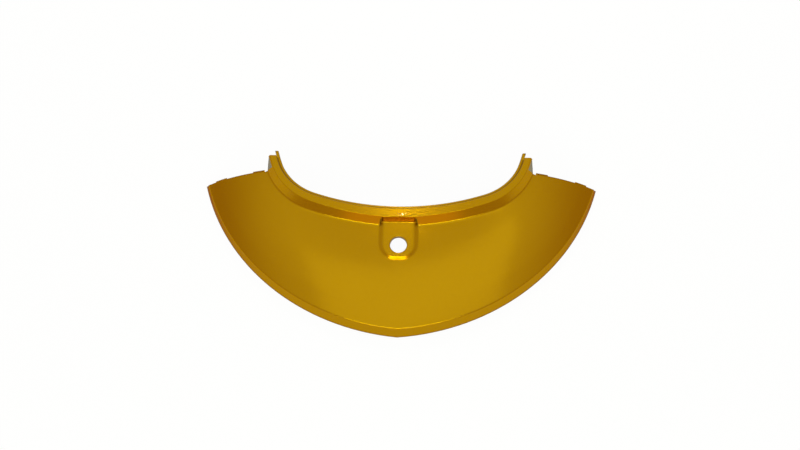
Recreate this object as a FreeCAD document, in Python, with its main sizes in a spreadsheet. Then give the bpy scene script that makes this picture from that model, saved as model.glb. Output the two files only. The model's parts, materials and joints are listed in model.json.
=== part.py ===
import FreeCAD, Part
import Sketcher
import math
import os

from FreeCAD import Placement, Rotation, Vector

# Rear side panel trim of a scooter: one moulding that wraps the tail of the seat.
# +X is the right hand, +Y points forward into the seat notch, +Z is up.
# The origin is the middle of the rectangle that the part covers, on the plane it lies on.

NODE = "rear_panel_trim"

# Every size in millimetres or degrees
SIZES = {
    "overall_width": 417,       # outer corner to outer corner
    "overall_depth": 184.5,     # tip of the vee to the ends of the tongue
    "ledge_height": 56,         # top of the ledge above the lower edge
    "wall": 2.5,                # thickness of the moulding
    "corner_setback": 12.2,     # ends of the tongue to the outer corners, along the part
    "vee_angle": 5.1,           # slant of the lower edge where the halves meet
    "flange_height": 11.5,      # turned-down edge, at the vee
    "flange_end_height": 7,     # turned-down edge, at the panel's ends
    "flange_draft": 20,         # lean of the turned-down edge
    "flange_round": 2,          # round between panel and turned-down edge
    "crown_turn": 18,           # turn of the panel from the riser to the turned-down edge
    "crown_share": 0.85,        # part of the panel's section that is curved
    "notch_depth": 64.4,        # ends of the tongue to the middle of the notch
    "seat_radius": 253,         # middle arc of the notch
    "corner_start": 20,         # heading where the notch corner begins
    "corner_radius": 59,        # notch corner
    "rim_heading": 73.2,        # heading of the straight ends of the rim
    "tongue_width": 3.4,        # lip that the seat closes on
    "tongue_step": 2,           # lip below the ledge
    "tongue_overrun": 6.5,      # lip beyond the end of the ledge
    "lip_bevel": 0.7,           # upper edges of lip and ledge, towards the notch
    "ledge_width": 9.7,         # ledge at the middle
    "ledge_end_width": 6.3,     # ledge at its ends
    "ledge_round": 1.2,         # round between ledge and riser
    "riser_run": 6.1,           # riser, across
    "riser_rise": 9.3,          # riser, up
    "foot_round": 3,            # hollow round between riser and panel
    "end_angle": 4.5,           # slant of the panel's ends, in plan
    "end_drop": 2,              # panel's ends behind the tips of the turned-down edge
    "tab_length": 1.8,          # locating tabs on the panel's ends
    "tab_width": 13,
    "tab_inset": 1,             # tabs below the outer skin
    "tab_inner_place": 146.7,   # middle of the inner tab from the centre line
    "tab_outer_place": 190,     # middle of the outer tab from the centre line
    "pocket_width": 30.4,       # flat floor of the lock pocket
    "pocket_front": 12,         # lock hole to the lower end of the floor
    "pocket_back": 23.5,        # lock hole to the upper end of the floor
    "pocket_depth": 3.3,        # floor below the foot of the riser
    "pocket_slope": 13,         # fall of the floor
    "dish_draft": 58,           # lean of the soft walls in the panel
    "dish_round": 3,            # round between floor and soft walls
    "pocket_corner": 12.5,      # rounds of the floor, seen from above
    "slot_width": 35.4,         # slot through the riser, at the ledge
    "slot_foot_width": 39.2,    # slot at the foot of the riser
    "slot_round": 1.5,          # rounds along the slot's back wall
    "hole_diameter": 17,        # lock hole
    "hole_depth": 6,            # lock hole with its collar
    "collar_wall": 2.5,
}

# How far a form that cuts or is cut later runs past the moulding
MARGIN = 3
OVERRUN = 1.2
FAR = 120
# Sections from the centre line to the far end of a form
STATIONS = 18

doc = FreeCAD.newDocument(NODE)
sheet = doc.addObject("Spreadsheet::Sheet", "sizes")
for row, (name, value) in enumerate(SIZES.items(), start=1):
    sheet.set(f"A{row}", name)
    sheet.set(f"B{row}", str(value))
    sheet.setAlias(f"B{row}", name)
doc.recompute()


def size(name):
    """A size from the sheet."""
    return float(sheet.get(name))


def sine(degrees):
    return math.sin(math.radians(degrees))


def cosine(degrees):
    return math.cos(math.radians(degrees))


def tangent(degrees):
    return math.tan(math.radians(degrees))


# Plan of the right half

UP = Vector(0, 0, 1)
front_y = -size("overall_depth") / 2
back_y = size("overall_depth") / 2
notch_y = back_y - size("notch_depth")
tongue_height = size("ledge_height") - size("tongue_step")
foot_height = size("ledge_height") - size("riser_rise")
vee_tip = Vector(0, front_y, 0)
outer_corner = Vector(size("overall_width") / 2, back_y - size("corner_setback"), 0)


def along(heading):
    """Direction of the notch edge, going from the centre line to its end."""
    return Vector(cosine(heading), sine(heading), 0)


def outward(heading):
    """Direction from the notch edge to the lower edge."""
    return Vector(sine(heading), -cosine(heading), 0)


# Arc of the lower edge: from the tip of the vee, at its slant, to the outer corner
vee_inward = outward(size("vee_angle")) * -1
half_span = outer_corner - vee_tip
outer_radius = half_span.Length ** 2 / (2 * half_span.dot(vee_inward))
outer_centre = vee_tip + vee_inward * outer_radius

# Notch edge: a wide arc, a corner and a straight end
seat_centre = Vector(0, notch_y + size("seat_radius"), 0)
corner_point = seat_centre + outward(size("corner_start")) * size("seat_radius")
corner_centre = corner_point - outward(size("corner_start")) * size("corner_radius")
straight_point = corner_centre + outward(size("rim_heading")) * size("corner_radius")
straight_length = (back_y - straight_point.y) / sine(size("rim_heading"))
seat_length = math.radians(size("corner_start")) * size("seat_radius")
corner_length = math.radians(size("rim_heading") - size("corner_start")) * size("corner_radius")
notch_length = seat_length + corner_length + straight_length


def notch_at(distance):
    """Point and heading of the notch edge at a distance along it from the centre line."""
    if distance <= seat_length:
        heading = math.degrees(distance / size("seat_radius"))
        return seat_centre + outward(heading) * size("seat_radius"), heading
    distance -= seat_length
    if distance <= corner_length:
        heading = size("corner_start") + math.degrees(distance / size("corner_radius"))
        return corner_centre + outward(heading) * size("corner_radius"), heading
    distance -= corner_length
    return straight_point + along(size("rim_heading")) * distance, size("rim_heading")


def lower_edge_at(distance):
    """Point of the lower edge at a distance along it from the vee."""
    heading = size("vee_angle") + math.degrees(distance / outer_radius)
    return outer_centre + outward(heading) * outer_radius


def lower_edge_length():
    """Length of the lower edge as far as the point straight outward from the end of the rim."""
    place, heading = notch_at(notch_length)
    from_centre = place - outer_centre
    lean = from_centre.dot(outward(heading))
    gap = from_centre.dot(from_centre) - outer_radius ** 2
    foot = from_centre + outward(heading) * (math.sqrt(lean ** 2 - gap) - lean)
    turn = math.degrees(math.atan2(foot.x, -foot.y)) - size("vee_angle")
    return math.radians(turn) * outer_radius


def stations():
    """Sections at even shares of both edges: notch point, direction, stretch, reach and share."""
    edge_length = lower_edge_length()
    sections = []
    for step in range(STATIONS + 1):
        share = OVERRUN * step / STATIONS
        place, heading = notch_at(notch_length * share)
        across = lower_edge_at(edge_length * share) - place
        reach = across.Length
        direction = across / reach
        stretch = 1 / direction.dot(outward(heading))
        sections.append((place, direction, stretch, reach, share))
    return sections


# Sections: reach from the notch edge, height and round of each corner of the outer skin

def skin_corners(edge, share):
    """Section square to the notch edge, with the lower edge at a reach and a share of the length."""
    ledge_start = size("tongue_width")
    ledge_end = ledge_start + size("ledge_width") + (size("ledge_end_width") - size("ledge_width")) * share
    foot = ledge_end + size("riser_run")
    flange_height = size("flange_height") + (size("flange_end_height") - size("flange_height")) * share ** 2
    shoulder = edge - flange_height * tangent(size("flange_draft"))
    half_chord = Vector(shoulder - foot, flange_height - foot_height, 0) / 2
    half_turn = size("crown_turn") / 2
    crown_rise = Vector(-half_chord.y, half_chord.x, 0) * tangent(half_turn)
    crown = Vector(foot, foot_height, 0) + half_chord + crown_rise
    crown_round = size("crown_share") * half_chord.Length / cosine(half_turn) / tangent(half_turn)
    return [
        (0, tongue_height, 0),
        (ledge_start, tongue_height, 0),
        (ledge_start, size("ledge_height"), 0),
        (ledge_end, size("ledge_height"), size("ledge_round")),
        (foot, foot_height, size("foot_round")),
        (crown.x, crown.y, crown_round),
        (shoulder, flange_height, size("flange_round")),
        (edge, 0, 0),
    ]


def bevelled(corners):
    """The same corners with the edges of lip and ledge towards the notch taken off."""
    bevel = size("lip_bevel")
    ends = []
    for reach, height, _ in (corners[0], corners[2]):
        ends.append([(reach, height - bevel, 0), (reach + bevel, height, 0)])
    return ends[0] + [corners[1]] + ends[1] + corners[3:]


def inset_corners(corners, inset):
    """The same corners on a skin that lies inside the outer one by the inset."""
    points = [Vector(reach, height, 0) for reach, height, _ in corners]
    lines = []
    for start, end in zip(points, points[1:]):
        course = (end - start).normalize()
        inward = Vector(course.y, -course.x, 0)
        lines.append((start + inward * inset, course))
    first, _ = lines[0]
    last, last_course = lines[-1]
    inner = [(-MARGIN, first.y, 0)]
    for (start, course), (other, other_course), (_, _, skin_round) in zip(lines, lines[1:], corners[1:]):
        crossing = course.cross(other_course).z
        step = (other - start).cross(other_course).z / crossing
        corner = start + course * step
        hollow = crossing > 0
        inner_round = skin_round + inset if hollow else max(skin_round - inset, 0)
        inner.append((corner.x, corner.y, inner_round if skin_round > 0 else 0))
    to_bottom = (-MARGIN - last.y) / last_course.y
    bottom = last + last_course * to_bottom
    inner.append((bottom.x, bottom.y, 0))
    inner.append((-MARGIN, -MARGIN, 0))
    return inner


def section_strips(corners, place, direction, stretch):
    """Poles of each straight and each round of a closed section, in space."""

    def in_space(point):
        return place + direction * (point.x * stretch) + UP * point.y

    points = [Vector(reach, height, 0) for reach, height, _ in corners]
    count = len(points)
    strips = []
    starts = []
    ends = []
    for number, point in enumerate(points):
        radius = corners[number][2]
        arrive = (point - points[number - 1]).normalize()
        leave = (points[(number + 1) % count] - point).normalize()
        turn = arrive.getAngle(leave)
        trim = radius * math.tan(turn / 2)
        arm = 4 / 3 * math.tan(turn / 4) * radius
        start = point - arrive * trim
        end = point + leave * trim
        starts.append(start)
        ends.append(end)
        if radius > 0:
            strips.append([start, start + arrive * arm, end - leave * arm, end])
        else:
            strips.append([])
    ordered = []
    for number in range(count):
        following = (number + 1) % count
        if strips[number]:
            ordered.append(strips[number])
        ordered.append([ends[number], starts[following]])
    return [[in_space(pole) for pole in strip] for strip in ordered]


def rail(points, parameters):
    """Smooth curve through one pole of every section."""
    curve = Part.BSplineCurve()
    curve.interpolate(Points=points, Parameters=parameters)
    return curve


def strip_face(rails):
    """Face between rails that share their parameters: flat across two, round across four."""
    degree = len(rails) - 1
    surface = Part.BSplineSurface()
    surface.buildFromPolesMultsKnots(
        [curve.getPoles() for curve in rails],
        [degree + 1, degree + 1],
        rails[0].getMultiplicities(),
        [0, 1],
        rails[0].getKnots(),
        False,
        False,
        degree,
        rails[0].Degree,
    )
    return surface.toShape()


def end_face(strips):
    """Flat face that closes the form at its first or last section."""
    edges = []
    for poles in strips:
        curve = Part.BezierCurve()
        curve.setPoles(poles)
        edges.append(curve.toShape())
    return Part.Face(Part.Wire(edges))


def form(name, inset):
    """Solid under the outer skin, or under a skin inside it, of the right half."""
    sections = []
    parameters = []
    for place, direction, stretch, reach, share in stations():
        corners = skin_corners(reach / stretch, share)
        if inset > 0:
            corners = inset_corners(corners, inset)
        else:
            corners = bevelled(corners) + [(0, 0, 0)]
        sections.append(section_strips(corners, place, direction, stretch))
        parameters.append(share)
    faces = [end_face(sections[0]), end_face(sections[-1])]
    for strip, poles in enumerate(sections[0]):
        rails = []
        for pole in range(len(poles)):
            rails.append(rail([section[strip][pole] for section in sections], parameters))
        faces.append(strip_face(rails))
    shell = Part.Compound(faces)
    shell.sewShape()
    feature = doc.addObject("Part::Feature", name)
    feature.Shape = Part.Solid(shell.Shells[0])
    return feature


def extruded(name, corners, course, length):
    """Prism on a closed polygon."""
    outline = doc.addObject("Part::Polygon", f"{name}_outline")
    outline.Nodes = corners
    outline.Close = True
    prism = doc.addObject("Part::Extrusion", name)
    prism.Base = outline
    prism.DirMode = "Custom"
    prism.Dir = course
    prism.LengthFwd = length
    prism.Solid = True
    return prism


def upright(name, corners):
    """Prism on a plan outline, from just below the moulding to just above it."""
    outline = [Vector(corner.x, corner.y, -MARGIN / 2) for corner in corners]
    return extruded(name, outline, UP, size("ledge_height") + 2 * MARGIN)


def cut(name, base, tool):
    result = doc.addObject("Part::Cut", name)
    result.Base = base
    result.Tool = tool
    return result


def fuse(name, shapes):
    result = doc.addObject("Part::MultiFuse", name)
    result.Shapes = shapes
    return result


# Lock pocket: a dish with a sloping floor in the panel, carried on through the riser in a slot

ledge_edge_y = notch_y - size("tongue_width") - size("ledge_width")
foot_y = ledge_edge_y - size("riser_run")
floor_back_height = foot_height - size("pocket_depth") + size("riser_run") * tangent(size("pocket_slope"))
hole_centre = Vector(
    0,
    ledge_edge_y - size("pocket_back") * cosine(size("pocket_slope")),
    floor_back_height - size("pocket_back") * sine(size("pocket_slope")),
)
floor_frame = Placement(hole_centre, Rotation(Vector(1, 0, 0), size("pocket_slope")))


def pocket_outline(body, name, growth):
    """Rounded rectangle of the pocket's floor, running on under the ledge, bound to the sheet."""
    plane = [item for item in body.Origin.OriginFeatures if item.Role == "XY_Plane"][0]
    sketch = body.newObject("Sketcher::SketchObject", name)
    sketch.AttachmentSupport = [(plane, "")]
    sketch.MapMode = "FlatFace"
    sketch.setExpression("AttachmentOffset.Base.z", f"-({growth})")
    half = size("pocket_width") / 2
    corner = size("pocket_corner")
    top = size("pocket_back") + 2 * corner
    bottom = -size("pocket_front")
    centres = [
        (half - corner, top - corner, 0),
        (-half + corner, top - corner, 90),
        (-half + corner, bottom + corner, 180),
        (half - corner, bottom + corner, 270),
    ]
    arcs = []
    for across, up, start in centres:
        circle = Part.Circle(Vector(across, up, 0), UP, corner)
        arc = Part.ArcOfCircle(circle, math.radians(start), math.radians(start + 90))
        arcs.append(sketch.addGeometry(arc))
    sides = []
    for arc, following in zip(arcs, arcs[1:] + arcs[:1]):
        start = sketch.getPoint(arc, 2)
        end = sketch.getPoint(following, 1)
        sides.append(sketch.addGeometry(Part.LineSegment(start, end)))
    constraint = sketch.addConstraint
    for number, side in enumerate(sides):
        constraint(Sketcher.Constraint("Tangent", arcs[number], 2, side, 1))
        constraint(Sketcher.Constraint("Tangent", side, 2, arcs[(number + 1) % 4], 1))
    constraint(Sketcher.Constraint("Horizontal", sides[2]))
    constraint(Sketcher.Constraint("Vertical", sides[1]))
    constraint(Sketcher.Constraint("Vertical", sides[3]))
    constraint(Sketcher.Constraint("Symmetric", sides[0], 1, sides[0], 2, -2))
    for arc in arcs[1:]:
        constraint(Sketcher.Constraint("Equal", arcs[0], arc))
    bound = {
        "pocket_width": Sketcher.Constraint("DistanceX", sides[1], 1, sides[3], 2, 2 * half),
        "pocket_back": Sketcher.Constraint("DistanceY", -1, 1, sides[0], 1, top),
        "pocket_front": Sketcher.Constraint("DistanceY", sides[2], 1, -1, 1, -bottom),
        "pocket_corner": Sketcher.Constraint("Radius", arcs[0], corner),
    }
    growths = {"pocket_width": f"2 * {growth}", "pocket_back": f"2 * sizes.pocket_corner + {growth}"}
    for name, item in bound.items():
        number = constraint(item)
        sketch.renameConstraint(number, name)
        sketch.setExpression(f"Constraints.{name}", f"sizes.{name} + {growths.get(name, growth)}")
    return sketch


def soft_hollow(name, growth):
    """Solid on the pocket's floor with soft leaning walls, grown all round by an expression."""
    body = doc.addObject("PartDesign::Body", name)
    floor = pocket_outline(body, f"{name}_floor", growth)
    doc.recompute()
    pad = body.newObject("PartDesign::Pad", f"{name}_pad")
    pad.Profile = floor
    pad.setExpression("Length", f"sizes.riser_rise + sizes.pocket_depth + sizes.foot_round + {growth}")
    pad.setExpression("TaperAngle", "sizes.dish_draft")
    doc.recompute()
    floor_face = min(pad.Shape.Faces, key=lambda face: face.CenterOfMass.z)
    rims = [
        f"Edge{number}"
        for number, edge in enumerate(pad.Shape.Edges, start=1)
        if any(edge.isSame(other) for other in floor_face.Edges)
    ]
    fillet = body.newObject("PartDesign::Fillet", f"{name}_round")
    fillet.Base = (pad, rims)
    fillet.setExpression("Radius", f"sizes.dish_round + {growth}")
    body.Tip = fillet
    body.Placement = floor_frame
    return body


def behind_riser(name, shift):
    """Prism across the part, behind the riser's slant moved back by a shift."""
    heights = (-MARGIN, size("ledge_height") + MARGIN)
    slant = size("riser_run") / size("riser_rise")
    near = [Vector(-FAR, foot_y + shift + (height - foot_height) * slant, height) for height in heights]
    far = [Vector(-FAR, back_y, height) for height in reversed(heights)]
    return extruded(name, near + far, Vector(1, 0, 0), 2 * FAR)


def dish_form(name, soft, shift):
    """Dish in the panel, as far as the riser."""
    return cut(name, soft, behind_riser(f"behind_{name}", shift))


def slot_form(name, soft, grown):
    """Slot through the riser, between upright walls that draw together towards the ledge."""
    lean = (size("slot_foot_width") - size("slot_width")) / 2 / size("riser_run")
    near_y = foot_y - MARGIN
    far_y = ledge_edge_y + grown
    corners = []
    for side, across_y in ((-1, near_y), (1, near_y), (1, far_y), (-1, far_y)):
        half_width = size("slot_width") / 2 + lean * (ledge_edge_y - across_y)
        corners.append(Vector(side * (half_width + grown * math.hypot(1, lean)), across_y))
    inside = doc.addObject("Part::Common", name)
    inside.Base = soft
    inside.Tool = upright(f"{name}_block", corners)
    return inside


def rounded_back(name, slot):
    """Slot with its back wall rounded into its floor and its side walls."""
    doc.recompute()
    back_wall = max(slot.Shape.Faces, key=lambda face: face.CenterOfMass.y)
    rounds = []
    for number, edge in enumerate(slot.Shape.Edges, start=1):
        on_wall = any(edge.isSame(other) for other in back_wall.Edges)
        if on_wall and edge.CenterOfMass.z < size("ledge_height"):
            rounds.append((number, size("slot_round"), size("slot_round")))
    fillet = doc.addObject("Part::Fillet", name)
    fillet.Base = slot
    fillet.Edges = rounds
    return fillet


soft = soft_hollow("soft", "0")
dish = dish_form("dish", soft, 0)
slot = rounded_back("slot", slot_form("sharp_slot", soft, 0))
# The same forms grown by the wall stay solid behind the pocket
soft_back = soft_hollow("soft_back", "sizes.wall")
dish_back = dish_form("dish_back", soft_back, size("wall"))
slot_back = slot_form("slot_back", soft_back, size("wall"))

# The moulded skin of the right half, still running past its ends

skin_form = form("skin_form", 0)
core_form = form("core_form", size("wall"))
tab_form = form("tab_form", size("tab_inset"))
hollow = cut("hollow", cut("hollow_round_dish", core_form, dish_back), slot_back)
long_half = cut("long_half", skin_form, hollow)

# Ends of the panel, the ledge and the tongue

end_course = Vector(cosine(size("end_angle")), sine(size("end_angle")), 0)
past_end = Vector(-end_course.y, end_course.x, 0)
panel_corner = outer_corner - past_end * size("end_drop")
rim_course = along(size("rim_heading"))
rim_outward = outward(size("rim_heading"))
ledge_end_y = back_y - size("tongue_overrun")
foot_reach = size("tongue_width") + size("ledge_end_width") + size("riser_run")


def end_point(across):
    """Point of the panel's end line at a distance from the centre line."""
    return panel_corner + end_course * ((across - panel_corner.x) / end_course.x)


def rim_point(reach, forward):
    """Point beside the straight end of the rim, at a reach from the notch edge and a Y."""
    start = straight_point + rim_outward * reach
    return start + rim_course * ((forward - start.y) / rim_course.y)


foot_start = straight_point + rim_outward * foot_reach
to_end_line = (panel_corner - foot_start).dot(past_end) / rim_course.dot(past_end)
foot_end = foot_start + rim_course * to_end_line
far_y = back_y + FAR
far_x = outer_corner.x + FAR
past_tongue = upright(
    "past_tongue",
    [Vector(0, back_y), Vector(far_x, back_y), Vector(far_x, far_y), Vector(0, far_y)],
)
past_ledge = upright(
    "past_ledge",
    [
        rim_point(size("tongue_width"), ledge_end_y),
        Vector(far_x, ledge_end_y),
        Vector(far_x, far_y),
        rim_point(size("tongue_width"), far_y),
    ],
)
past_panel = upright(
    "past_panel",
    [
        foot_end,
        end_point(outer_corner.x - size("flange_end_height") * tangent(size("flange_draft"))),
        outer_corner,
        Vector(far_x, outer_corner.y),
        Vector(far_x, far_y),
        rim_point(foot_reach, far_y),
    ],
)

# Riser beyond the panel: it tapers from full height to nothing at the end of the ledge
gusset_reach = size("tongue_width") + size("wall") + MARGIN / 2
gusset_start = foot_end - rim_outward * (foot_reach - gusset_reach)
gusset_end = rim_point(gusset_reach, ledge_end_y)
ledge_under = size("ledge_height") - size("wall")
past_gusset = extruded(
    "past_gusset",
    [
        gusset_start + UP * -MARGIN,
        gusset_start + UP * foot_height,
        gusset_end + UP * ledge_under,
        gusset_end + rim_course * FAR + UP * ledge_under,
        gusset_end + rim_course * FAR - UP * MARGIN,
    ],
    rim_outward,
    foot_reach - gusset_reach + MARGIN,
)

# Locating tabs: left standing past the panel's end, and let in below the outer skin
tab_blocks = []
tab_covers = []
for place in ("tab_inner_place", "tab_outer_place"):
    middle = end_point(size(place))
    side = end_course * (size("tab_width") / 2)
    root = past_end * -size("wall")
    tip = past_end * size("tab_length")
    block = [middle - side + root, middle + side + root, middle + side + tip, middle - side + tip]
    tab_blocks.append(upright(f"{place}_block", block))
    wide_side = side + end_course * MARGIN
    wide_tip = tip + past_end * MARGIN
    near = [middle - wide_side, middle + wide_side]
    cover = near + [middle + wide_side + wide_tip, middle - wide_side + wide_tip]
    tab_covers.append(upright(f"{place}_cover", cover))
past_panel_and_tabs = cut("past_panel_and_tabs", past_panel, fuse("tab_blocks", tab_blocks))
over_tabs = cut("over_tabs", fuse("tab_covers", tab_covers), tab_form)
past_ends = fuse("past_ends", [past_tongue, past_ledge, past_panel_and_tabs, past_gusset])
trimmed_half = cut("trimmed_half", long_half, past_ends)
tabbed_half = cut("tabbed_half", trimmed_half, over_tabs)
half = cut("half", cut("dished_half", tabbed_half, dish), slot)

# Both halves, and the lock hole in its collar

mirrored = doc.addObject("Part::Mirroring", "mirrored_half")
mirrored.Source = half
mirrored.Normal = Vector(1, 0, 0)
halves = fuse("halves", [half, mirrored])
halves.Refine = True

collar = doc.addObject("Part::Cylinder", "collar")
collar.setExpression("Radius", "sizes.hole_diameter / 2 + sizes.collar_wall")
collar.setExpression("Height", "sizes.hole_depth - sizes.wall / 2")
collar.Placement = floor_frame.multiply(Placement(Vector(0, 0, -size("hole_depth")), Rotation()))
hole = doc.addObject("Part::Cylinder", "hole")
hole.setExpression("Radius", "sizes.hole_diameter / 2")
hole.setExpression("Height", f"sizes.hole_depth + {2 * MARGIN}")
hole.Placement = floor_frame.multiply(Placement(Vector(0, 0, -size("hole_depth") - MARGIN), Rotation()))

trim = cut(NODE, fuse("with_collar", [halves, collar]), hole)
trim.Label = NODE
doc.recompute()

for item in doc.Objects:
    if "Invalid" in item.State or "Error" in item.State:
        raise RuntimeError(f"{item.Name} did not build")
if trim.Shape.isNull() or not trim.Shape.isValid() or len(trim.Shape.Solids) != 1:
    raise RuntimeError("the trim is not one valid solid")

os.makedirs("parts", exist_ok=True)
trim.Shape.exportStep(f"parts/{NODE}.step")
axis = floor_frame.Rotation.multVec(UP)
print(f"{NODE}: {trim.Shape.Volume / 1000:.1f} cm3, lock hole at {hole_centre}, axis {axis}")
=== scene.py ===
import json
import math

import bpy
from mathutils import Matrix, Vector

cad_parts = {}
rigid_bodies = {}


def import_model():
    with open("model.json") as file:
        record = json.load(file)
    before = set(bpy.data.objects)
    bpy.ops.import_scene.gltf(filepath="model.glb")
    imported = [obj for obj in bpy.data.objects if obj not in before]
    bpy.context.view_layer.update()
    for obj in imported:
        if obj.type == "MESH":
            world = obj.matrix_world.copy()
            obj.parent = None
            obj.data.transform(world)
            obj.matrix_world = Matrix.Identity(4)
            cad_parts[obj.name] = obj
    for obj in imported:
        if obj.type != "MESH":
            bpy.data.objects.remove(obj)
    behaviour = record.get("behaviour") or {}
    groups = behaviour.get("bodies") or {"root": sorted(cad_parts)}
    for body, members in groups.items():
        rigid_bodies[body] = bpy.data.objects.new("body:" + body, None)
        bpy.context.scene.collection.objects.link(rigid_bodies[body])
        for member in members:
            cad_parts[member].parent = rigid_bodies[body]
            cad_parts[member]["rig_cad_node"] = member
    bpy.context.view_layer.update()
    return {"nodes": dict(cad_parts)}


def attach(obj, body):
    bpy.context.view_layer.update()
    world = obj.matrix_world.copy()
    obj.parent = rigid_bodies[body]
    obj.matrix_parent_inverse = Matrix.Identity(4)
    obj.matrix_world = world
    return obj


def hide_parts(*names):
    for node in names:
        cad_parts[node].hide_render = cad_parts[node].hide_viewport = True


bl_info = {
    "name": "Rear Side Panel Trim",
    "version": (1, 0, 0),
    "blender": (4, 5, 0),
    "location": "View3D > Sidebar > Tail Trim",
    "description": "Dresses the moulded tail trim of a scooter in gold paint, on a plain stage",
    "category": "Object",
}

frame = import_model()

NODE = "rear_panel_trim"
BODY = "root"
MOULDING = "trim_moulding"

# Width of the photograph in pixels, and of the camera's sensor in millimetres
IMAGE_WIDTH = 800
SENSOR_WIDTH = 36

# Ends of the panel and the gussets beyond them, in metres
PANEL_CORNER = Vector((0.2087, 0.0781))
END_SLOPE = math.tan(math.radians(4.5))
GUSSET_TOP = 0.0545
GUSSET_INSIDE = 0.1285
GUSSET_OUTSIDE = 0.1395
PAINT_EDGE = 0.0006

# Middle of the seat notch, the underside of the rim round it and the step in the rim
NOTCH_MIDDLE = Vector((0.0, 0.11))
RIM_BOTTOM = 0.0515
STEP_BOTTOM = 0.0538
STEP_MIDDLE = 0.0545

# Lock hole
HOLE_LEAN = math.radians(13)
HOLE_CENTRE = Vector((0.0, -0.00815, 0.03952))
HOLE_AXIS = Vector((0.0, -math.sin(HOLE_LEAN), math.cos(HOLE_LEAN)))
HOLE_RADIUS = 0.0087

# Half the width of the pocket round the hole, walls included, and the height at which its slot begins
POCKET_REACH = 0.03
SLOT_BOTTOM = 0.044

# Points this close are merged, and points this close to the centre line lie on its crease
MERGE_DISTANCE = 0.000002
CENTRE_LINE = 0.00001
# How much large faces count in the shading, where 50 is by their area alone
LARGE_FACES = 90

# Part of a normal along a direction: with more a face looks that way, with less it stands across it
LOOKING = 0.5
ACROSS = 0.1
# Upward part of a normal below which a face is on the inside, or on the wall of the step
INSIDE_UPWARD = -0.02
STEP_UPWARD = 0.3
# Least parts of a normal on the side walls of the slot
SLOT_FORWARD = 0.2
SLOT_SIDEWAYS = 0.3

# Material slots of the moulding
PAINTED = 0
RIM = 1
# Thin paint, whose dark gold is also painted shade on faces turned into the notch, in the lock hole and
# in the slot
THIN_PAINT_AND_SHADE = 2
BARE = 3

# Attribute that marks the foot of the step, where the gold is darkened as painted shade
STEP_SHADE = "hollow"

# Wave lengths of the patterns, in metres
CLOUD_PITCH = 0.06
SPECKLE_PITCH = 0.0012
DRIFT_PITCH = 0.03
GRAIN_PITCH = 0.0008
# Values of a pattern between which a mark goes from none to full
FLAKE_RANGE = (0.45, 0.75)
# Range over which the painted shade at the foot of the step fades in
STEP_SHADE_RANGE = (0.2, 0.8)
FLECK_RANGE = (0.5, 0.7)
GAP_RANGE = (0.5, 0.75)
DRIFT_RANGE = (0.45, 0.75)
MIST_RANGE = (0.4, 0.65)
# Most that each mark shows
FLAKE_SHARE = 0.5
CLOUD_SHARE = 0.2
FLECK_SHARE = 0.5
GAP_SHARE = 0.12
MIST_SHARE = 0.45

# Relief of the clear coat and of the plastic, depths in metres
PEEL_STRENGTH = 0.06
PEEL_DEPTH = 0.0003
GRAIN_STRENGTH = 0.15
GRAIN_DEPTH = 0.0001
EDGE_SAMPLES = 8

# Gloss of the paint, and what flakes and bare places add to it
PAINT_ROUGHNESS = 0.17
FLAKE_ROUGHNESS = 0.06
BARE_ROUGHNESS = 0.3
COAT_WEIGHT = 0.06
COAT_ROUGHNESS = 0.03
PAINT_GLANCE = (0.45, 0.28, 0.02)
# Gloss of the thin paint, and what its speckles add
THIN_METALLIC = 0.25
THIN_ROUGHNESS = 0.4
THIN_SPECKLE_ROUGHNESS = 0.1
THIN_SPECULAR = 0.2
THIN_GLANCE = (0.3, 0.2, 0.05)
# Gloss of the plastic, and what the drifts of paint add
PLASTIC_ROUGHNESS = 0.5
DRIFT_ROUGHNESS = 0.1

# Floor
FLOOR_SIZE = 30
FLOOR_DROP = 0.0002
FLOOR_GREY = (0.85, 0.85, 0.85)
WHITE = (1.0, 1.0, 1.0)
WHITE_SHARE = 0.94

# How far up a view of the room has to point to show the ceiling alone
CEILING_HEIGHT = 0.9

# Numbers of a Mix node's colour sockets
MIX_FIRST = 6
MIX_SECOND = 7
MIX_RESULT = 2


# Sizes and colours


class TrimFinishSettings(bpy.types.PropertyGroup):
    """Paint outside, bare plastic inside."""

    paint_colour: bpy.props.FloatVectorProperty(
        name="Paint", description="Gold of the paint, square on",
        subtype="COLOR", size=3, min=0, max=1, default=(0.42, 0.208, 0.001),
    )
    flake_colour: bpy.props.FloatVectorProperty(
        name="Flake", description="Gold of the bright flakes in the paint",
        subtype="COLOR", size=3, min=0, max=1, default=(0.50, 0.27, 0.002),
    )
    # Painted shade: dark gold that stands in for the shade in the corner at the foot of the step in the
    # rim
    hollow_colour: bpy.props.FloatVectorProperty(
        name="Step shade", description="Dark gold along the foot of the step in the rim",
        subtype="COLOR", size=3, min=0, max=1, default=(0.20, 0.085, 0.001),
    )
    bare_colour: bpy.props.FloatVectorProperty(
        name="Plastic", description="Grey of the unpainted plastic",
        subtype="COLOR", size=3, min=0, max=1, default=(0.215, 0.205, 0.175),
    )
    # Partly thin paint where the spray hardly reaches, partly painted shade on faces turned into the
    # notch, in the lock hole and in the slot
    thin_paint_and_shade_colour: bpy.props.FloatVectorProperty(
        name="Thin paint and shade", description="Brown gold on the edges that the paint hardly reaches",
        subtype="COLOR", size=3, min=0, max=1, default=(0.26, 0.145, 0.008),
    )
    flake_pitch: bpy.props.FloatProperty(
        name="Flake size", description="Distance between flakes",
        subtype="DISTANCE", unit="LENGTH", default=0.0004,
    )
    peel_pitch: bpy.props.FloatProperty(
        name="Orange peel", description="Wave length of the ripple in the clear coat",
        subtype="DISTANCE", unit="LENGTH", default=0.004,
    )
    edge_round: bpy.props.FloatProperty(
        name="Edge round", description="How far the paint softens edges and corners",
        subtype="DISTANCE", unit="LENGTH", default=0.0022,
    )
    crease_angle: bpy.props.FloatProperty(
        name="Crease", description="Edges sharper than this stay sharp",
        subtype="ANGLE", default=math.radians(28),
    )


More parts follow.
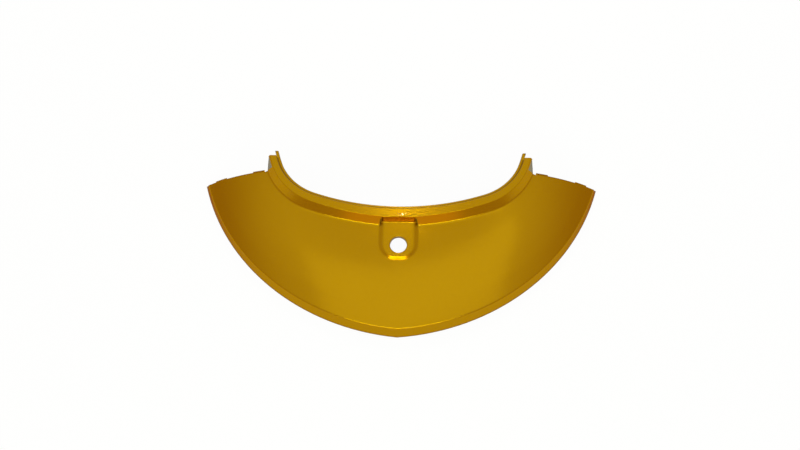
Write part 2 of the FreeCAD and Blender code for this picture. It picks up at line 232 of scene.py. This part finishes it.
class TrimStageSettings(bpy.types.PropertyGroup):
    """Camera, lights and room."""

    azimuth: bpy.props.FloatProperty(
        name="Azimuth", description="Camera round from the front towards the right",
        subtype="ANGLE", default=math.radians(2.61),
    )
    elevation: bpy.props.FloatProperty(
        name="Elevation", description="Camera above the floor",
        subtype="ANGLE", default=math.radians(62),
    )
    roll: bpy.props.FloatProperty(
        name="Roll", description="Camera turned about its own view",
        subtype="ANGLE", default=math.radians(-1.59),
    )
    distance: bpy.props.FloatProperty(
        name="Distance", description="Camera from its target",
        subtype="DISTANCE", unit="LENGTH", default=1.1,
    )
    target_height: bpy.props.FloatProperty(
        name="Target height", description="Target above the floor",
        subtype="DISTANCE", unit="LENGTH", default=0.03,
    )
    lens: bpy.props.FloatProperty(
        name="Lens", description="Focal length in millimetres on a 36 mm sensor", default=48.86,
    )
    target_right: bpy.props.FloatProperty(
        name="Target across", description="Target right of the image's middle, in pixels", default=-1.35,
    )
    target_down: bpy.props.FloatProperty(
        name="Target down", description="Target below the image's middle, in pixels", default=16.8,
    )
    top_power: bpy.props.FloatProperty(
        name="Top light", description="Power of the large light above the camera",
        subtype="POWER", default=2.3,
    )
    top_colour: bpy.props.FloatVectorProperty(
        name="Top light colour", description="Tint of the large light",
        subtype="COLOR", size=3, min=0, max=1, default=(0.75, 1.0, 0.65),
    )
    card_power: bpy.props.FloatProperty(
        name="Card", description="Power of the wide warm card before the trim",
        subtype="POWER", default=1.0,
    )
    card_colour: bpy.props.FloatVectorProperty(
        name="Card colour", description="Tint of the card",
        subtype="COLOR", size=3, min=0, max=1, default=(1.0, 0.5, 0.12),
    )
    strip_power: bpy.props.FloatProperty(
        name="Front strip", description="Power of the wide low light before the trim",
        subtype="POWER", default=7.0,
    )
    strip_colour: bpy.props.FloatVectorProperty(
        name="Front strip colour", description="Tint of the wide low light",
        subtype="COLOR", size=3, min=0, max=1, default=(0.75, 1.0, 0.6),
    )
    front_power: bpy.props.FloatProperty(
        name="Front spot", description="Power of the small light before the trim",
        subtype="POWER", default=0.5,
    )
    over_power: bpy.props.FloatProperty(
        name="Overhead spot", description="Power of the small light over the trim",
        subtype="POWER", default=0.06,
    )
    ledge_power: bpy.props.FloatProperty(
        name="Ledge spot", description="Power of the small light that the ledge mirrors",
        subtype="POWER", default=0.08,
    )
    back_power: bpy.props.FloatProperty(
        name="Back light", description="Power of the low light behind the trim",
        subtype="POWER", default=3.2,
    )
    wall_colour: bpy.props.FloatVectorProperty(
        name="Walls", description="Light of the room at eye level",
        subtype="COLOR", size=3, min=0, max=1, default=(0.57, 0.41, 0.27),
    )
    ceiling_colour: bpy.props.FloatVectorProperty(
        name="Ceiling", description="Light of the room from above",
        subtype="COLOR", size=3, min=0, max=1, default=(0.93, 0.95, 0.88),
    )


# Shader maths


class Wire:
    """An output socket that can be used in arithmetic."""

    def __init__(self, nodes, socket):
        self.nodes = nodes
        self.socket = socket

    def math(self, operation, first, second):
        """Result of a Math node."""
        return self.nodes.node("ShaderNodeMath", {"operation": operation}, {0: first, 1: second})

    def __add__(self, other):
        return self.math("ADD", self, other)

    __radd__ = __add__

    def __mul__(self, other):
        return self.math("MULTIPLY", self, other)

    __rmul__ = __mul__

    def __sub__(self, other):
        return self.math("SUBTRACT", self, other)

    def __rsub__(self, other):
        return self.math("SUBTRACT", other, self)

    def between(self, low, high):
        """Rises smoothly from 0 at low to 1 at high."""
        settings = {"interpolation_type": "SMOOTHSTEP"}
        inputs = {"Value": self, "From Min": low, "From Max": high}
        return self.nodes.node("ShaderNodeMapRange", settings, inputs)


class Nodes:
    """A node tree under construction."""

    def __init__(self, tree):
        self.tree = tree
        self.tree.nodes.clear()

    def node(self, kind, settings=None, inputs=None, output=0):
        """Adds a node, sets it up, links or fills its inputs and gives back one output."""
        made = self.tree.nodes.new(kind)
        for name, value in (settings or {}).items():
            setattr(made, name, value)
        for key, value in (inputs or {}).items():
            if isinstance(value, Wire):
                self.tree.links.new(value.socket, made.inputs[key])
            else:
                made.inputs[key].default_value = value
        if made.outputs:
            return Wire(self, made.outputs[output])
        return None

    def mix(self, share, first, second):
        """Colour between two colours."""
        inputs = {"Factor": share, MIX_FIRST: first, MIX_SECOND: second}
        return self.node("ShaderNodeMix", {"data_type": "RGBA"}, inputs, MIX_RESULT)

    def noise(self, place, pitch, detail=2.0):
        """Soft noise with a wave length."""
        inputs = {"Vector": place, "Scale": 1 / pitch, "Detail": detail}
        return self.node("ShaderNodeTexNoise", None, inputs)

    def axes(self, place):
        """The three coordinates of a place."""
        return [self.node("ShaderNodeSeparateXYZ", None, {0: place}, axis) for axis in "XYZ"]

    def surface(self, sockets):
        """Finishes a material with a Principled shader."""
        shader = self.node("ShaderNodeBsdfPrincipled", None, sockets)
        self.node("ShaderNodeOutputMaterial", None, {"Surface": shader})


def new_material(name):
    """Empty node material, and its tree to fill."""
    material = bpy.data.materials.new(name)
    material.use_nodes = True
    return material, Nodes(material.node_tree)


def opaque(colour):
    """Colour with full alpha for a node's socket."""
    return (*colour, 1.0)


def bare_places(nodes, place):
    """1 on the gussets under the ends of the ledge, which the paint doesn't reach."""
    across, forward, height = nodes.axes(place)
    side = across.math("ABSOLUTE", across, 0)
    past_end = forward - (side - PANEL_CORNER.x) * END_SLOPE - PANEL_CORNER.y
    under_ledge = 1 - height.between(GUSSET_TOP - PAINT_EDGE, GUSSET_TOP)
    beside_tongue = side.between(GUSSET_INSIDE, GUSSET_INSIDE + PAINT_EDGE)
    inside_tabs = 1 - side.between(GUSSET_OUTSIDE - PAINT_EDGE, GUSSET_OUTSIDE)
    return past_end.between(0, PAINT_EDGE) * under_ledge * beside_tongue * inside_tabs


def gold_paint(name, settings, softened):
    """Metallic gold under a thin clear coat, missing on the gussets and darkened as painted shade along
    the foot of the step; it may soften the edges.
    """
    material, nodes = new_material(name)
    place = nodes.node("ShaderNodeTexCoord", output="Object")
    flakes = nodes.noise(place, settings.flake_pitch, 0.0)
    clouds = nodes.noise(place, CLOUD_PITCH)
    share = flakes.between(*FLAKE_RANGE) * FLAKE_SHARE + clouds * CLOUD_SHARE
    gold = nodes.mix(share, opaque(settings.paint_colour), opaque(settings.flake_colour))
    # Painted shade: the gold darkens along the foot of the step, where the step shades it
    hollow = nodes.node("ShaderNodeAttribute", {"attribute_name": STEP_SHADE}, None, "Fac")
    gold = nodes.mix(hollow.between(*STEP_SHADE_RANGE), gold, opaque(settings.hollow_colour))
    speckle = nodes.noise(place, SPECKLE_PITCH)
    bare = bare_places(nodes, place) * (1 - speckle.between(*FLECK_RANGE) * FLECK_SHARE)
    peel = nodes.noise(place, settings.peel_pitch, 1.0)
    relief = {"Strength": PEEL_STRENGTH, "Distance": PEEL_DEPTH, "Height": peel}
    if softened:
        rounding = {"Radius": settings.edge_round}
        relief["Normal"] = nodes.node("ShaderNodeBevel", {"samples": EDGE_SAMPLES}, rounding)
    nodes.surface({
        "Base Color": nodes.mix(bare, gold, opaque(settings.bare_colour)),
        "Metallic": 1 - bare,
        "Roughness": flakes * FLAKE_ROUGHNESS + PAINT_ROUGHNESS + bare * BARE_ROUGHNESS,
        "Coat Weight": (1 - bare) * COAT_WEIGHT,
        "Coat Roughness": COAT_ROUGHNESS,
        "Specular Tint": opaque(PAINT_GLANCE),
        "Normal": nodes.node("ShaderNodeBump", None, relief),
    })
    return material


def thin_paint_and_shade(settings):
    """Dull gold that lets the plastic show through, where the spray hardly reaches; its darkness on the
    faces turned into the notch, the wall of the lock hole and the side walls of the slot is also painted
    shade.
    """
    material, nodes = new_material("thin_gold_paint_and_shade")
    place = nodes.node("ShaderNodeTexCoord", output="Object")
    speckle = nodes.noise(place, SPECKLE_PITCH)
    gaps = speckle.between(*GAP_RANGE) * GAP_SHARE
    nodes.surface({
        "Base Color": nodes.mix(gaps, opaque(settings.thin_paint_and_shade_colour), opaque(settings.bare_colour)),
        "Metallic": THIN_METALLIC - gaps,
        "Roughness": speckle * THIN_SPECKLE_ROUGHNESS + THIN_ROUGHNESS,
        "Specular IOR Level": THIN_SPECULAR,
        "Specular Tint": opaque(THIN_GLANCE),
    })
    return material


def bare_plastic(settings):
    """Unpainted light grey plastic with a mist of paint on it."""
    material, nodes = new_material("bare_plastic")
    place = nodes.node("ShaderNodeTexCoord", output="Object")
    drift = nodes.noise(place, DRIFT_PITCH)
    speckle = nodes.noise(place, SPECKLE_PITCH)
    mist = drift.between(*DRIFT_RANGE) * speckle.between(*MIST_RANGE) * MIST_SHARE
    grain = nodes.noise(place, GRAIN_PITCH)
    relief = {"Strength": GRAIN_STRENGTH, "Distance": GRAIN_DEPTH, "Height": grain}
    nodes.surface({
        "Base Color": nodes.mix(mist, opaque(settings.bare_colour), opaque(settings.paint_colour)),
        "Roughness": drift * DRIFT_ROUGHNESS + PLASTIC_ROUGHNESS,
        "Normal": nodes.node("ShaderNodeBump", None, relief),
    })
    return material


def white_floor():
    """White to the camera and in reflections, with a soft shadow."""
    material, nodes = new_material("white_floor")
    seen = nodes.node("ShaderNodeLightPath", output="Is Camera Ray")
    for kind in ("Is Glossy Ray", "Is Transmission Ray"):
        seen = seen.math("MAXIMUM", seen, nodes.node("ShaderNodeLightPath", output=kind))
    diffuse = nodes.node("ShaderNodeBsdfDiffuse", None, {"Color": opaque(FLOOR_GREY)})
    glow = nodes.node("ShaderNodeEmission", None, {"Color": opaque(WHITE), "Strength": 1.0})
    shader = nodes.node("ShaderNodeMixShader", None, {0: seen * WHITE_SHARE, 1: diffuse, 2: glow})
    nodes.node("ShaderNodeOutputMaterial", None, {"Surface": shader})
    return material


# The moulding


def faces_notch(face):
    """Whether a face of the rim looks towards the seat notch."""
    to_notch = NOTCH_MIDDLE - face.center.xy
    return face.center.z > RIM_BOTTOM and face.normal.dot(to_notch.to_3d().normalized()) > LOOKING


def lines_hole(face):
    """Whether a face is part of the wall of the lock hole."""
    from_hole = face.center - HOLE_CENTRE
    off_axis = from_hole - HOLE_AXIS * from_hole.dot(HOLE_AXIS)
    return off_axis.length < HOLE_RADIUS and abs(face.normal.dot(HOLE_AXIS)) < ACROSS


def beside_slot(face):
    """Whether a face is an upright side wall of the slot behind the lock hole, or its corner."""
    in_slot = abs(face.center.x) < POCKET_REACH and face.center.z > SLOT_BOTTOM
    upright = abs(face.normal.z) < ACROSS
    sideways = abs(face.normal.x) > SLOT_SIDEWAYS and face.normal.y < -SLOT_FORWARD
    return in_slot and upright and sideways


def behind_pocket(face):
    """Whether a face is on the back of the pocket, under the rim."""
    in_reach = abs(face.center.x) < POCKET_REACH and face.center.z < RIM_BOTTOM
    return in_reach and face.normal.y > LOOKING


def finish_of(face):
    """Material slot of a face."""
    # Faces turned into the notch, the lock hole's wall and the slot's side walls get the dark thin
    # paint, which is partly painted shade
    if faces_notch(face) or lines_hole(face) or beside_slot(face):
        return THIN_PAINT_AND_SHADE
    if face.normal.z < INSIDE_UPWARD or behind_pocket(face):
        return BARE
    return RIM if face.center.z > RIM_BOTTOM else PAINTED


def mark_hollow(mesh):
    """Marks the foot of the step between lip and ledge, where the gold is darkened as painted shade."""
    hollow = mesh.attributes.new(STEP_SHADE, "FLOAT", "POINT")
    for face in mesh.polygons:
        if faces_notch(face) and face.normal.z < STEP_UPWARD and face.center.z > STEP_BOTTOM:
            for number in face.vertices:
                if mesh.vertices[number].co.z < STEP_MIDDLE:
                    hollow.data[number].value = 1.0


def merged_copy(context, solid):
    """Copy of a solid with its loose triangles joined."""
    bpy.ops.object.select_all(action="DESELECT")
    solid.select_set(True)
    context.view_layer.objects.active = solid
    bpy.ops.object.duplicate()
    copy = context.view_layer.objects.active
    del copy["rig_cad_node"]
    bpy.ops.object.mode_set(mode="EDIT")
    bpy.ops.mesh.select_all(action="SELECT")
    bpy.ops.mesh.remove_doubles(threshold=MERGE_DISTANCE)
    bpy.ops.object.mode_set(mode="OBJECT")
    bpy.ops.mesh.customdata_custom_splitnormals_clear()
    return copy


def smooth(moulding, crease_angle):
    """Shades the active moulding smooth between its edges and the crease on its centre line."""
    bpy.ops.object.shade_smooth_by_angle(angle=crease_angle)
    mesh = moulding.data
    for edge in mesh.edges:
        if all(abs(mesh.vertices[number].co.x) < CENTRE_LINE for number in edge.vertices):
            edge.use_edge_sharp = True
    bpy.ops.object.modifier_add(type="WEIGHTED_NORMAL")
    weights = moulding.modifiers[-1]
    weights.mode = "FACE_AREA"
    weights.weight = LARGE_FACES
    weights.keep_sharp = True
    bpy.ops.object.modifier_apply(modifier=weights.name)


class TRIM_OT_moulding(bpy.types.Operator):
    """Makes the visible moulding from a merged copy of the solid"""

    bl_idname = "trim.moulding"
    bl_label = "Moulding"

    def execute(self, context):
        settings = context.scene.trim_finish
        moulding = merged_copy(context, frame["nodes"][NODE])
        moulding.name = MOULDING
        smooth(moulding, settings.crease_angle)
        finishes = {
            PAINTED: gold_paint("gold_paint", settings, softened=True),
            RIM: gold_paint("rim_paint", settings, softened=False),
            THIN_PAINT_AND_SHADE: thin_paint_and_shade(settings),
            BARE: bare_plastic(settings),
        }
        moulding.data.materials.clear()
        for slot in sorted(finishes):
            moulding.data.materials.append(finishes[slot])
        for face in moulding.data.polygons:
            face.material_index = finish_of(face)
        # Marks where the painted shade at the foot of the step goes
        mark_hollow(moulding.data)
        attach(moulding, BODY)
        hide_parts(NODE)
        return {"FINISHED"}


# The stage


def area_light(name, place, target, width, depth, power, colour=WHITE):
    """Soft light that looks at a target."""
    bpy.ops.object.light_add(type="AREA", location=place)
    light = bpy.context.view_layer.objects.active
    light.name = name
    light.rotation_euler = (target - place).to_track_quat("-Z", "Y").to_euler()
    light.data.shape = "RECTANGLE"
    light.data.size = width
    light.data.size_y = depth
    light.data.energy = power
    light.data.color = colour


def overhead(angle, distance):
    """Place over the trim, at an angle that rises from the front horizon and ends at the back one."""
    turn = math.radians(angle)
    return Vector((0, -math.cos(turn), math.sin(turn))) * distance


class TRIM_OT_stage(bpy.types.Operator):
    """Sets out the floor, the lights and the camera"""

    bl_idname = "trim.stage"
    bl_label = "Stage"

    def execute(self, context):
        settings = context.scene.trim_stage
        self.floor()
        self.lights(settings)
        self.room(context, settings)
        self.camera(context, settings)
        context.scene.view_settings.view_transform = "Standard"
        return {"FINISHED"}

    def floor(self):
        """Wide white floor, just under the trim."""
        bpy.ops.mesh.primitive_plane_add(size=FLOOR_SIZE)
        floor = bpy.context.view_layer.objects.active
        floor.name = "floor"
        floor.data.transform(Matrix.Translation((0, 0, -FLOOR_DROP)))
        floor.data.materials.append(white_floor())

    def lights(self, settings):
        """One large light, and smaller ones that the bends of the trim mirror to the camera."""
        middle = Vector((0, 0, settings.target_height))
        area_light(
            "top_light", Vector((0.1, -0.72, 1.45)), middle,
            width=2.4, depth=1.0, power=settings.top_power, colour=settings.top_colour,
        )
        area_light(
            "warm_card", overhead(angle=8, distance=1.5), middle,
            width=1.4, depth=0.5, power=settings.card_power, colour=settings.card_colour,
        )
        area_light(
            "front_strip", overhead(angle=28, distance=1.5), middle,
            width=1.6, depth=0.15, power=settings.strip_power, colour=settings.strip_colour,
        )
        area_light(
            "front_spot", overhead(angle=28, distance=1.45), middle,
            width=0.1, depth=0.1, power=settings.front_power,
        )
        area_light(
            "over_spot", overhead(angle=97, distance=1.2), middle,
            width=0.05, depth=0.05, power=settings.over_power,
        )
        # Left of the middle, so that the glint on the ledge lies where the photograph has it
        left = Vector((-0.017, 0, 0))
        area_light(
            "ledge_spot", overhead(angle=118, distance=1.2) + left, middle,
            width=0.01, depth=0.01, power=settings.ledge_power,
        )
        area_light(
            "back_light", overhead(angle=146, distance=1.2), middle,
            width=0.65, depth=0.2, power=settings.back_power,
        )

    def room(self, context, settings):
        """Soft light from all round, brighter from above."""
        room = bpy.data.worlds.new("room")
        room.use_nodes = True
        nodes = Nodes(room.node_tree)
        view = nodes.node("ShaderNodeTexCoord", output="Generated")
        height = nodes.axes(view)[2]
        share = height.between(0, CEILING_HEIGHT)
        light = nodes.mix(share, opaque(settings.wall_colour), opaque(settings.ceiling_colour))
        background = nodes.node("ShaderNodeBackground", None, {"Color": light})
        nodes.node("ShaderNodeOutputWorld", None, {"Surface": background})
        context.scene.world = room

    def camera(self, context, settings):
        """Camera where the photograph was taken from."""
        back = Vector((
            math.sin(settings.azimuth) * math.cos(settings.elevation),
            -math.cos(settings.azimuth) * math.cos(settings.elevation),
            math.sin(settings.elevation),
        ))
        level = Vector((math.cos(settings.azimuth), math.sin(settings.azimuth), 0))
        upright = back.cross(level)
        right = level * math.cos(settings.roll) + upright * math.sin(settings.roll)
        top = upright * math.cos(settings.roll) - level * math.sin(settings.roll)
        bpy.ops.object.camera_add()
        camera = context.view_layer.objects.active
        turn = Matrix((right, top, back)).transposed().to_4x4()
        target = Vector((0, 0, settings.target_height))
        camera.matrix_world = Matrix.Translation(target + back * settings.distance) @ turn
        camera.data.lens = settings.lens
        camera.data.sensor_width = SENSOR_WIDTH
        camera.data.shift_x = -settings.target_right / IMAGE_WIDTH
        camera.data.shift_y = settings.target_down / IMAGE_WIDTH
        context.scene.camera = camera


class TRIM_PT_panel(bpy.types.Panel):
    """Lists the settings and the steps in the sidebar"""

    bl_label = "Tail Trim"
    bl_space_type = "VIEW_3D"
    bl_region_type = "UI"
    bl_category = "Tail Trim"

    def draw(self, context):
        for settings in (context.scene.trim_finish, context.scene.trim_stage):
            for name in settings.bl_rna.properties.keys():
                if name not in {"rna_type", "name"}:
                    self.layout.prop(settings, name)
        for step in STEPS:
            self.layout.operator(step.bl_idname)


STEPS = (TRIM_OT_moulding, TRIM_OT_stage)
CLASSES = (TrimFinishSettings, TrimStageSettings, *STEPS, TRIM_PT_panel)


def register():
    for item in CLASSES:
        bpy.utils.register_class(item)
    bpy.types.Scene.trim_finish = bpy.props.PointerProperty(type=TrimFinishSettings)
    bpy.types.Scene.trim_stage = bpy.props.PointerProperty(type=TrimStageSettings)


def unregister():
    del bpy.types.Scene.trim_stage
    del bpy.types.Scene.trim_finish
    for item in reversed(CLASSES):
        bpy.utils.unregister_class(item)


def main():
    register()
    bpy.ops.trim.moulding()
    bpy.ops.trim.stage()


if __name__ == "__main__":
    main()
